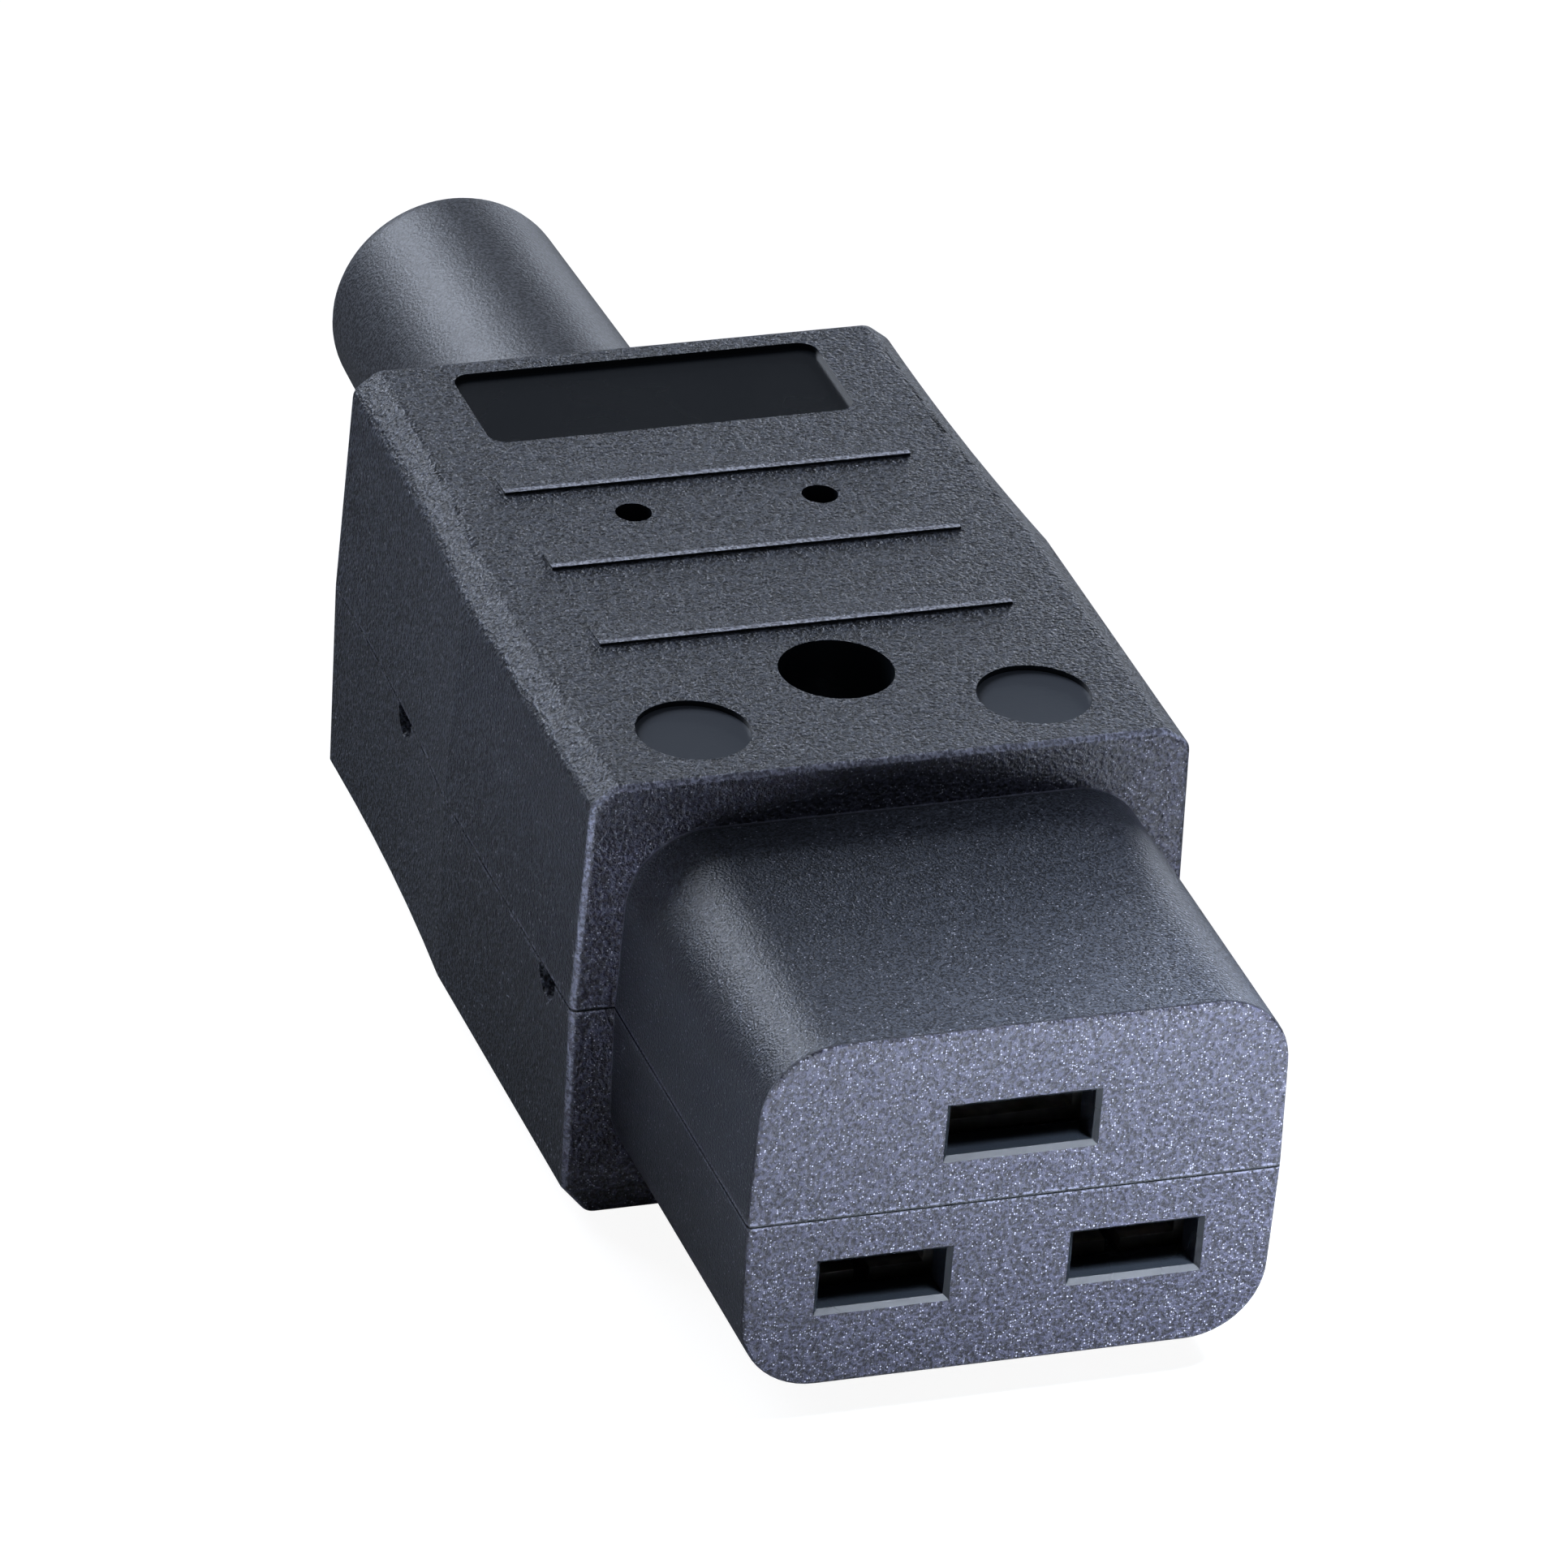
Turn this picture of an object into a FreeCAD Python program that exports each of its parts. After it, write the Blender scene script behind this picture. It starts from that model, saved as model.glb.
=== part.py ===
import FreeCAD, Part
import math
import os
import types

import Sketcher

# A rewireable appliance connector: two moulded half shells that meet on a flat parting
# plane, three brass contacts with screw terminals between them, a cord clamp, and a soft
# sleeve round the cord's way in. Millimetres. The origin is the middle of the mating
# face, on the parting plane; +Y runs back to the cord and +Z is up.

SIZES = {
    # nose: the plug end that enters the appliance inlet
    "nose_length": 20.86,
    "nose_half_width": 13.72,
    "nose_side_taper": 0.15,
    "nose_top": 9.80,
    "nose_bottom": 9.53,
    "nose_corner": 4.0,
    "nose_edge": 0.25,
    # pin slots and what is behind them
    "pin_spacing": 13.0,
    "power_pin_height": -3.95,
    "earth_pin_height": 4.05,
    "power_slot_width": 6.49,
    "power_slot_height": 2.64,
    "earth_slot_width": 7.46,
    "earth_slot_height": 2.76,
    "slot_lead_in": 0.25,
    "nose_front_wall": 2.0,
    # body of the shells
    "body_length": 43.94,
    "body_half_width": 15.95,
    "straight_length": 21.14,
    "rear_taper": 0.95,
    "rear_straight": 1.8,
    "room_corner": 1.0,
    "top_height": 12.54,
    "bottom_height": 12.02,
    "side_draft": 1.5,
    "top_chamfer_width": 1.3,
    "top_chamfer_height": 1.0,
    "bottom_chamfer_width": 1.35,
    "bottom_chamfer_height": 1.6,
    "long_edge": 0.85,
    "front_edge": 0.4,
    "rear_edge": 0.8,
    "seam_depth": 0.12,
    "seam_height": 0.06,
    "side_wall": 1.8,
    "roof": 2.0,
    "floor": 2.0,
    "front_wall": 1.8,
    "partition": 1.8,
    "rear_wall": 2.0,
    # lip of the lower shell, in a rebate of the upper one
    "lip_thickness": 0.8,
    "lip_height": 1.0,
    "lip_gap": 0.1,
    # pry notches in the lower shell's rim
    "notch_width": 2.5,
    "notch_height": 1.6,
    "notch_radius": 1.26,
    "notch_depth": 0.9,
    "front_notch": 3.9,
    "notch_pitch": 26.0,
    # top face
    "label_start": 34.73,
    "label_length": 7.44,
    "label_half_width": 9.9,
    "label_corner": 1.0,
    "recess_depth": 0.3,
    "badge_setback": 4.76,
    "badge_spacing": 17.86,
    "badge_radius": 2.91,
    "grip_start": 13.61,
    "grip_pitch": 7.89,
    "grip_count": 3,
    "grip_half_width": 10.91,
    "grip_length": 2.28,
    "grip_height": 0.16,
    # housing screw and the column it goes through
    "screw_setback": 9.1,
    "screw_access_radius": 2.94,
    "screw_seat_height": 5.5,
    "screw_head_radius": 2.75,
    "screw_head_height": 2.2,
    "screw_shank_radius": 1.5,
    "screw_depth": 8.0,
    "screw_tip_room": 0.5,
    "screw_clearance": 0.15,
    "thread_gap": 0.03,
    "column_wall": 1.56,
    "spigot_wall": 1.55,
    "spigot_gap": 0.05,
    # contacts: a brass tunnel, a flat tail and a steel clip round the tunnel
    "contact_setback": 3.0,
    "tunnel_length": 14.0,
    "power_pin_room": 6.3,
    "earth_pin_room": 7.3,
    "tunnel_height": 2.3,
    "tunnel_thickness": 0.7,
    "tunnel_seam": 0.8,
    "clip_thickness": 0.35,
    "clip_gap": 0.03,
    "clip_start": 3.5,
    "clip_length": 8.0,
    "clip_hook_width": 1.2,
    "chamber_side_gap": 0.18,
    "chamber_gap": 0.15,
    "tail_width": 4.8,
    "tail_bend": 5.0,
    # screw terminals
    "cage_inner_width": 5.0,
    "cage_column_gap": 0.4,
    "cage_wall": 1.0,
    "cage_base": 1.6,
    "cage_length": 6.0,
    "power_cage_start": 25.0,
    "earth_cage_start": 36.0,
    "cage_gap": 0.05,
    "terminal_head_radius": 2.4,
    "terminal_head_height": 1.3,
    "terminal_shank_radius": 1.5,
    "terminal_head_gap": 0.62,
    "wire_room": 2.1,
    "guard_thickness": 0.4,
    "guard_width": 4.6,
    "fin_thickness": 0.8,
    # screwdriver slots
    "driver_slot": 0.7,
    "driver_depth": 0.7,
    # cord clamp
    "clamp_setback": 26.43,
    "clamp_screw_spacing": 10.0,
    "clamp_pilot_radius": 0.9425,
    "clamp_hole_radius": 1.2,
    "clamp_head_radius": 1.9,
    "clamp_head_height": 1.2,
    "clamp_screw_reach": 9.0,
    "clamp_half_length": 7.0,
    "clamp_width": 4.0,
    "clamp_thickness": 3.8,
    "clamp_opening": 2.5,
    "saddle_opening": 2.0,
    "cord_radius": 3.95,
    # bend relief sleeve
    "sleeve_radius": 7.5,
    "sleeve_end_radius": 6.6,
    "sleeve_length": 29.5,
    "sleeve_bore": 4.0,
    "sleeve_mouth": 0.3,
    "sleeve_end_land": 0.2,
    "sleeve_stub": 0.8,
    "sleeve_gap": 0.1,
    "collar_radius": 9.0,
    "collar_thickness": 2.6,
    # how far a cut runs past a face, and how far a grown piece is sunk into its wall
    "past": 1.0,
    "rooted": 0.5,
}


class Term:
    """A length worked out from the sheet: its value, and the formula that ties it to the cells."""

    def __init__(self, value, formula):
        self.value = value
        self.formula = formula

    def __neg__(self):
        return Term(-self.value, f"(0 - {self.formula})")

    def __add__(self, other):
        other = as_term(other)
        return Term(self.value + other.value, f"({self.formula} + {other.formula})")

    def __sub__(self, other):
        other = as_term(other)
        return Term(self.value - other.value, f"({self.formula} - {other.formula})")

    def __mul__(self, other):
        other = as_term(other)
        return Term(self.value * other.value, f"({self.formula} * {other.formula})")

    def __truediv__(self, other):
        other = as_term(other)
        return Term(self.value / other.value, f"({self.formula} / {other.formula})")


def root(term):
    return Term(math.sqrt(term.value), f"sqrt({term.formula})")


def as_term(number):
    return number if isinstance(number, Term) else Term(float(number), f"({number})")


doc = FreeCAD.newDocument("Connector")
sheet = doc.addObject("Spreadsheet::Sheet", "Sizes")
for row, (name, value) in enumerate(SIZES.items(), 1):
    sheet.set(f"A{row}", name)
    sheet.set(f"B{row}", str(value))
    sheet.setAlias(f"B{row}", name)
doc.recompute()
size = types.SimpleNamespace(**{name: Term(value, f"Sizes.{name}") for name, value in SIZES.items()})

# Places that several pieces share, each worked out from the sizes above.
zero = Term(0.0, "0")
shoulder = size.nose_length
rear_half_width = size.body_half_width - size.rear_taper
chamber_front = shoulder + size.front_wall
rear_face = shoulder + size.body_length
groove_rear = rear_face - size.rear_wall
groove_front = groove_rear - size.collar_thickness - size.sleeve_gap * 2
chamber_rear = groove_front - size.partition
roof_height = size.top_height - size.roof
floor_height = size.floor - size.bottom_height
screw_y = shoulder + size.screw_setback
clamp_y = shoulder + size.clamp_setback
column_radius = size.screw_access_radius + size.column_wall
spigot_bore = size.screw_shank_radius + size.screw_clearance
spigot_radius = spigot_bore + size.spigot_wall
tunnel_half_height = size.tunnel_height / 2 + size.tunnel_thickness
packed_half_height = tunnel_half_height + size.clip_gap + size.clip_thickness
contact_end = size.contact_setback + size.tunnel_length
cage_half_width = size.cage_inner_width / 2 + size.cage_wall
cage_offset = column_radius + size.cage_column_gap + cage_half_width
power_tail_top = size.power_pin_height + tunnel_half_height
power_seat = floor_height + size.terminal_head_gap + size.terminal_head_height
cage_inner_height = power_tail_top - size.cage_base - power_seat


# --- drawing and feature tools ---------------------------------------------------------


def tie(item, path, term):
    """Bind a property to the sheet."""
    item.setExpression(path, as_term(term).formula)


def origin_part(body, role):
    return next(item for item in body.Origin.OriginFeatures if item.Role == role)


def new_body(label):
    body = doc.addObject("PartDesign::Body", label)
    body.Label = label
    body.Placement = FreeCAD.Placement()
    return body


def constrain(sketch, kind, *where, term=None):
    """Add one constraint, with its size tied to the sheet."""
    if term is None:
        sketch.addConstraint(Sketcher.Constraint(kind, *where))
        return
    number = sketch.addConstraint(Sketcher.Constraint(kind, *where, term.value))
    tie(sketch, f"Constraints[{number}]", term)


def circle(x, y, radius):
    """A circle, each of its sizes a term."""
    x, y, radius = as_term(x), as_term(y), as_term(radius)

    def draw(sketch):
        middle = FreeCAD.Vector(x.value, y.value, 0)
        ring = sketch.addGeometry(Part.Circle(middle, FreeCAD.Vector(0, 0, 1), radius.value), False)
        constrain(sketch, "DistanceX", -1, 1, ring, 3, term=x)
        constrain(sketch, "DistanceY", -1, 1, ring, 3, term=y)
        constrain(sketch, "Radius", ring, term=radius)

    return draw


def arc_between(start, end, radius, outward):
    """The shorter arc from start to end. Outward arcs turn anticlockwise, the others clockwise."""
    if not outward:
        start, end = end, start
    chord = end - start
    half = chord.Length / 2
    rise = math.sqrt(max(radius * radius - half * half, 0.0))
    across = FreeCAD.Vector(-chord.y, chord.x, 0).normalize()
    centre = start + chord * 0.5 + across * rise
    ring = Part.Circle(centre, FreeCAD.Vector(0, 0, 1), radius)
    return Part.ArcOfCircle(ring, ring.parameter(start), ring.parameter(end))


def outline(*corners):
    """A closed line, anticlockwise. A corner is (x, y), or (x, y, "round" or "hollow", radius)
    where an arc runs from it to the next one."""
    corners = [(as_term(c[0]), as_term(c[1]), *c[2:]) for c in corners]

    def draw(sketch):
        points = [FreeCAD.Vector(c[0].value, c[1].value, 0) for c in corners]
        ends = []
        for number, corner in enumerate(corners):
            start, end = points[number], points[(number + 1) % len(points)]
            if len(corner) == 2:
                edge = sketch.addGeometry(Part.LineSegment(start, end), False)
                ends.append((edge, 1, 2))
                continue
            outward = corner[2] == "round"
            arc = arc_between(start, end, as_term(corner[3]).value, outward)
            edge = sketch.addGeometry(arc, False)
            ends.append((edge, 1, 2) if outward else (edge, 2, 1))
        for number, corner in enumerate(corners):
            edge, first, last = ends[number]
            following = ends[(number + 1) % len(ends)]
            constrain(sketch, "Coincident", edge, last, following[0], following[1])
            constrain(sketch, "DistanceX", -1, 1, edge, first, term=corner[0])
            constrain(sketch, "DistanceY", -1, 1, edge, first, term=corner[1])
            if len(corner) > 2:
                constrain(sketch, "Radius", edge, term=as_term(corner[3]))

    return draw


def rectangle(x, y):
    return outline((x[0], y[0]), (x[1], y[0]), (x[1], y[1]), (x[0], y[1]))


# The way that each base plane faces: with the axis across it, or against it.
FACING = {"XY_Plane": 1, "XZ_Plane": -1, "YZ_Plane": 1}


def sketch_on(body, name, plane, level, *loops):
    sketch = body.newObject("Sketcher::SketchObject", f"{name}_sketch")
    sketch.AttachmentSupport = [(origin_part(body, plane), "")]
    sketch.MapMode = "FlatFace"
    tie(sketch, "AttachmentOffset.Base.z", as_term(level) * FACING[plane])
    for draw in loops:
        draw(sketch)
    return sketch


def extrude(body, name, plane, span, *loops, cut=False):
    """Pad or pocket the loops from the lower end of the span to the upper one."""
    low, high = as_term(span[0]), as_term(span[1])
    sketch = sketch_on(body, name, plane, low, *loops)
    feature = body.newObject("PartDesign::Pocket" if cut else "PartDesign::Pad", name)
    feature.Profile = sketch
    feature.Reversed = cut == (FACING[plane] > 0)
    tie(feature, "Length", high - low)
    sketch.Visibility = False
    return feature


def block(body, name, x, y, z, cut=False):
    """A rectangular block between the ends of three spans, added or taken away."""
    kind = "PartDesign::SubtractiveBox" if cut else "PartDesign::AdditiveBox"
    feature = body.newObject(kind, name)
    for axis, side, span in (("x", "Length", x), ("y", "Width", y), ("z", "Height", z)):
        low, high = as_term(span[0]), as_term(span[1])
        tie(feature, f"Placement.Base.{axis}", low)
        tie(feature, side, high - low)
    return feature


def rod(body, name, axis, centre, span, radius, cut=False):
    """A cylinder along Y or Z, added or taken away. The centre is given across its axis."""
    kind = "PartDesign::SubtractiveCylinder" if cut else "PartDesign::AdditiveCylinder"
    feature = body.newObject(kind, name)
    low, high = as_term(span[0]), as_term(span[1])
    if axis == "y":
        feature.Placement.Rotation = FreeCAD.Rotation(FreeCAD.Vector(1, 0, 0), -90)
        place = {"x": centre[0], "y": low, "z": centre[1]}
    else:
        place = {"x": centre[0], "y": centre[1], "z": low}
    for letter, term in place.items():
        tie(feature, f"Placement.Base.{letter}", term)
    tie(feature, "Radius", radius)
    tie(feature, "Height", high - low)
    return feature


def revolve(body, name, loop):
    """Turn a profile, drawn as radius across and length along Y, about the Y axis."""
    sketch = sketch_on(body, name, "XY_Plane", zero, loop)
    feature = body.newObject("PartDesign::Revolution", name)
    feature.Profile = sketch
    feature.ReferenceAxis = (origin_part(body, "Y_Axis"), [""])
    feature.Angle = 360.0
    sketch.Visibility = False
    return feature


def edges_within(feature, x=None, y=None, z=None):
    """The names of the edges that lie wholly within the spans given."""
    slack = 0.05
    found = []
    for number, edge in enumerate(feature.Shape.Edges, 1):
        box = edge.BoundBox
        limits = ((x, box.XMin, box.XMax), (y, box.YMin, box.YMax), (z, box.ZMin, box.ZMax))
        if all(s is None or (a >= s[0] - slack and b <= s[1] + slack) for s, a, b in limits):
            found.append(f"Edge{number}")
    return found


def dress(body, name, kind, feature, edges, term):
    """Round or bevel the named edges of a feature."""
    finish = body.newObject(f"PartDesign::{kind}", name)
    finish.Base = (feature, edges)
    tie(finish, "Radius" if kind == "Fillet" else "Size", term)
    return finish


def mirrored_pair(term):
    """A place on the right and its mirror image on the left, with a name for each."""
    return (("right", term), ("left", -term))


# --- shells ----------------------------------------------------------------------------


def plan(inset, front, rear):
    """The body's outline from above, drawn in by the inset: straight sides, then a slow
    hollow curve that brings them to the narrower rear end."""
    wide, narrow, bend, settle, sweep = waist(inset)
    return outline(
        (-wide, front),
        (wide, front),
        (wide, bend, "hollow", sweep),
        (narrow, settle),
        (narrow, rear),
        (-narrow, rear),
        (-narrow, settle, "hollow", sweep),
        (-wide, bend),
    )


def room_plan(inset, front, rear):
    """The same outline for a room that ends before the sides have settled, with its rear
    corners rounded."""
    wide, narrow, bend, settle, sweep = waist(inset)
    corner = size.room_corner
    turn = rear - corner
    left_over = settle - turn
    near = narrow + sweep - root(sweep * sweep - left_over * left_over)
    return outline(
        (-wide, front),
        (wide, front),
        (wide, bend, "hollow", sweep),
        (near, turn, "round", corner),
        (near - corner, rear),
        (corner - near, rear, "round", corner),
        (-near, turn, "hollow", sweep),
        (-wide, bend),
    )


def waist(inset):
    """The half widths in front and at the rear, where the curve starts and ends, its radius."""
    bend = shoulder + size.straight_length
    settle = rear_face - size.rear_straight
    run = settle - bend
    fall = size.body_half_width - rear_half_width
    sweep = (run * run / fall + fall) / 2
    return size.body_half_width - inset, rear_half_width - inset, bend, settle, sweep


def silhouette(inset, front):
    """The whole shell from above, nose and body, drawn in by the inset."""
    wide, narrow, bend, settle, sweep = waist(inset)
    nose = size.nose_half_width - inset
    step = shoulder + inset
    rear = rear_face - inset
    turn = size.front_edge - inset
    rear_turn = size.rear_edge - inset
    return outline(
        (-nose, front),
        (nose, front),
        (nose, step),
        (wide - turn, step, "round", turn),
        (wide, step + turn),
        (wide, bend, "hollow", sweep),
        (narrow, settle),
        (narrow, rear - rear_turn, "round", rear_turn),
        (narrow - rear_turn, rear),
        (rear_turn - narrow, rear, "round", rear_turn),
        (-narrow, rear - rear_turn),
        (-narrow, settle, "hollow", sweep),
        (-wide, bend),
        (-wide, step + turn, "round", turn),
        (turn - wide, step),
        (-nose, step),
    )


def half_nose(foot, reach):
    """One half of the nose's section, as corners: straight sides that lean in a little, and
    two large round corners. A negative reach gives the lower half."""
    side = size.nose_half_width
    lean = side - size.nose_side_taper
    corner = size.nose_corner
    if reach.value > 0:
        return outline(
            (-side, foot),
            (side, foot),
            (lean, reach - corner, "round", corner),
            (lean - corner, reach),
            (corner - lean, reach, "round", corner),
            (-lean, reach - corner),
        )
    return outline(
        (side, foot),
        (-side, foot),
        (-lean, reach + corner, "round", corner),
        (corner - lean, reach),
        (lean - corner, reach, "round", corner),
        (lean, reach + corner),
    )


def shell_blank(body, height, chamfer_width, chamfer_height, nose_reach, sense):
    """The outside of one half shell. The body's outline is raised from the seam, its sides
    lean in for the mould, its long edges are bevelled and its ends are rounded. Then come
    the nose, and the land that meets the other shell. The sense is 1 for the upper shell
    and -1 for the lower one."""
    outer = height * sense
    foot = size.seam_height * sense
    span = (foot, outer) if sense > 0 else (outer, foot)
    form = extrude(body, "body_form", "XY_Plane", span, plan(zero, shoulder, rear_face))
    doc.recompute()

    sides = [
        f"Face{number}"
        for number, face in enumerate(form.Shape.Faces, 1)
        if abs(face.CenterOfMass.x) > rear_half_width.value / 2
    ]
    leaning = body.newObject("PartDesign::Draft", "side_draft")
    leaning.Base = (form, sides)
    leaning.NeutralPlane = (origin_part(body, "XY_Plane"), [""])
    leaning.PullDirection = (origin_part(body, "Z_Axis"), [""])
    leaning.Reversed = sense < 0
    tie(leaning, "Angle", size.side_draft)
    doc.recompute()

    long_edges = lengthwise(leaning, outer)
    bevelled = dress(body, "long_chamfer", "Chamfer", leaning, long_edges, chamfer_height)
    bevelled.ChamferType = "Two distances"
    tie(bevelled, "Size2", chamfer_width)
    doc.recompute()

    # The upper bevel is soft along both its edges, the lower one only underneath.
    soft = lengthwise(bevelled, outer)
    if sense > 0:
        soft += lengthwise(bevelled, outer - chamfer_height)
    rounded = dress(body, "long_edges", "Fillet", bevelled, soft, size.long_edge)
    doc.recompute()
    for name, place, radius in (
        ("front_edges", shoulder, size.front_edge),
        ("rear_edges", rear_face, size.rear_edge),
    ):
        rounded = dress(body, name, "Fillet", rounded, rim_edges(rounded, place, foot), radius)
        doc.recompute()

    section = half_nose(foot, nose_reach)
    nose = extrude(body, "nose", "XZ_Plane", (zero, chamber_front), section)
    doc.recompute()
    dress(body, "nose_edge_break", "Fillet", nose, rim_edges(nose, zero, foot), size.nose_edge)

    # The land stands back from the outside, so that the closed shells show a fine dark
    # seam, but the upper one comes up flush to the mating face.
    depth = size.seam_height + size.rooted
    land = (zero, depth) if sense > 0 else (-depth, zero)
    front = zero if sense > 0 else size.seam_depth
    extrude(body, "parting_land", "XY_Plane", land, silhouette(size.seam_depth, front))
    doc.recompute()


def lengthwise(feature, level):
    """The long edges that run back at this height."""
    there = edges_within(feature, z=(level.value, level.value))
    ends = edges_within(feature, y=(shoulder.value, shoulder.value))
    ends += edges_within(feature, y=(rear_face.value, rear_face.value))
    return [name for name in there if name not in ends]


def rim_edges(feature, place, foot):
    """The outer edges of the face that stands at this place along Y, but for the one at its
    foot, beside the seam."""
    standing = edges_within(feature, y=(place.value, place.value))
    lowest = edges_within(feature, y=(place.value, place.value), z=(foot.value, foot.value))
    return [name for name in standing if name not in lowest]


def hollow(body, span):
    """The wiring chamber, the groove for the sleeve's collar and the hole that it leaves by."""
    room = room_plan(size.side_wall, chamber_front, chamber_rear)
    extrude(body, "wiring_chamber", "XY_Plane", span, room, cut=True)
    axis = (zero, zero)
    groove = size.collar_radius + size.sleeve_gap
    rod(body, "collar_groove", "y", axis, (groove_front, groove_rear), groove, cut=True)
    passage = size.sleeve_radius + size.sleeve_gap
    through = (chamber_rear - size.past, rear_face + size.past)
    rod(body, "sleeve_passage", "y", axis, through, passage, cut=True)


def pin_slot(body, name, centre_x, centre_z, width, height):
    """A slot through the nose's front wall, with a small lead-in round its mouth."""
    wide = (centre_x - width / 2, centre_x + width / 2)
    tall = (centre_z - height / 2, centre_z + height / 2)
    slot = block(body, name, wide, (-size.past, size.nose_front_wall + size.rooted), tall, cut=True)
    doc.recompute()
    mouth = edges_within(
        slot,
        x=(wide[0].value, wide[1].value),
        y=(0, 0),
        z=(tall[0].value, tall[1].value),
    )
    dress(body, f"{name}_lead_in", "Chamfer", slot, mouth, size.slot_lead_in)


def contact_chamber(body, name, centre_x, room, span):
    """The space for one contact, from the front wall back into the wiring chamber."""
    half = room / 2 + size.tunnel_thickness + size.clip_gap + size.clip_thickness + size.chamber_side_gap
    long = (size.nose_front_wall, chamber_front + size.past)
    block(body, name, (centre_x - half, centre_x + half), long, span, cut=True)
    return half


def upper_shell():
    body = new_body("upper_shell")
    shell_blank(
        body,
        size.top_height,
        size.top_chamfer_width,
        size.top_chamfer_height,
        size.nose_top,
        1,
    )
    hollow(body, (zero, roof_height))

    # A rebate round the chamber takes the lower shell's lip.
    lip_room = size.side_wall - size.lip_thickness - size.lip_gap
    beyond = size.lip_thickness + size.lip_gap
    rebate = room_plan(lip_room, chamber_front - beyond, chamber_rear + beyond)
    extrude(body, "lip_rebate", "XY_Plane", (zero, size.lip_height + size.lip_gap), rebate, cut=True)

    # The earth contact lies in a chamber that opens on the parting plane.
    earth_roof = size.earth_pin_height + packed_half_height + size.chamber_gap
    earth_half = contact_chamber(body, "earth_chamber", zero, size.earth_pin_room, (zero, earth_roof))
    pin_slot(
        body,
        "earth_slot",
        zero,
        size.earth_pin_height,
        size.earth_slot_width,
        size.earth_slot_height,
    )

    # Tongues reach down into the other half and hold the line and neutral contacts.
    power_x = size.pin_spacing / 2
    tongue_low = size.power_pin_height + packed_half_height + size.chamber_gap
    tongue_in = earth_half + size.chamber_gap
    tongue_out = power_x + size.power_pin_room / 2
    tongue_long = (size.contact_setback, contact_end)
    block(body, "right_tongue", (tongue_in, tongue_out), tongue_long, (tongue_low, zero))
    block(body, "left_tongue", (-tongue_out, -tongue_in), tongue_long, (tongue_low, zero))

    # The column for the housing screw: a wide part with the head's seat, and a spigot
    # that goes through the earth tail and into the lower shell's boss.
    tail_seat = size.earth_pin_height - size.tunnel_height / 2 + size.spigot_gap
    centre = (zero, screw_y)
    rod(body, "column", "z", centre, (tail_seat, roof_height), column_radius)
    rod(body, "spigot", "z", centre, (zero, roof_height), spigot_radius)
    through = (-size.past, size.screw_seat_height)
    rod(body, "clearance_hole", "z", centre, through, spigot_bore, cut=True)
    access = (size.screw_seat_height, size.top_height + size.past)
    rod(body, "screw_access", "z", centre, access, size.screw_access_radius, cut=True)

    # The saddle that the cord is clamped against, with pilot holes right through the roof.
    saddle_x = size.clamp_half_length
    saddle_y = (clamp_y - size.clamp_width / 2, clamp_y + size.clamp_width / 2)
    saddle_z = (size.saddle_opening, roof_height + size.rooted)
    block(body, "saddle", (-saddle_x, saddle_x), saddle_y, saddle_z)
    rod(body, "saddle_groove", "y", (zero, zero), saddle_y, size.cord_radius, cut=True)
    for side, x in mirrored_pair(size.clamp_screw_spacing / 2):
        long = (zero, size.top_height + size.past)
        rod(body, f"{side}_pilot", "z", (x, clamp_y), long, size.clamp_pilot_radius, cut=True)

    # Fins from the roof stop the terminal cages from rising.
    for name, x, start, tail_top in terminals():
        fin_low = tail_top + size.cage_wall + size.cage_gap
        fin_x = (x - size.fin_thickness / 2, x + size.fin_thickness / 2)
        fin_y = (start, start + size.cage_length)
        block(body, f"{name}_hold_down", fin_x, fin_y, (fin_low, roof_height + size.rooted))

    # Shallow recesses on top: one rectangular field at the rear, two round ones in front.
    top = (size.top_height - size.recess_depth, size.top_height + size.past)
    wide = size.label_half_width
    corner = size.label_corner
    near = shoulder + size.label_start
    far = near + size.label_length
    field = outline(
        (corner - wide, near),
        (wide - corner, near, "round", corner),
        (wide, near + corner),
        (wide, far - corner, "round", corner),
        (wide - corner, far),
        (corner - wide, far, "round", corner),
        (-wide, far - corner),
        (-wide, near + corner, "round", corner),
    )
    extrude(body, "label_recess", "XY_Plane", top, field, cut=True)
    for side, x in mirrored_pair(size.badge_spacing / 2):
        place = (x, shoulder + size.badge_setback)
        rod(body, f"{side}_badge_recess", "z", place, top, size.badge_radius, cut=True)

    # Three grip wedges, each a step towards the nose that runs out level to the rear.
    step = shoulder + size.grip_start
    wedge = outline(
        (step, size.top_height - size.recess_depth),
        (step + size.grip_length, size.top_height - size.recess_depth),
        (step + size.grip_length, size.top_height),
        (step, size.top_height + size.grip_height),
    )
    half = size.grip_half_width
    grip = extrude(body, "grip", "YZ_Plane", (-half, half), wedge)
    row = body.newObject("PartDesign::LinearPattern", "grips")
    row.Originals = [grip]
    row.Direction = (origin_part(body, "Y_Axis"), [""])
    tie(row, "Length", size.grip_pitch * (size.grip_count - 1))
    tie(row, "Occurrences", size.grip_count)
    body.Tip = row
    return body


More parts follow.
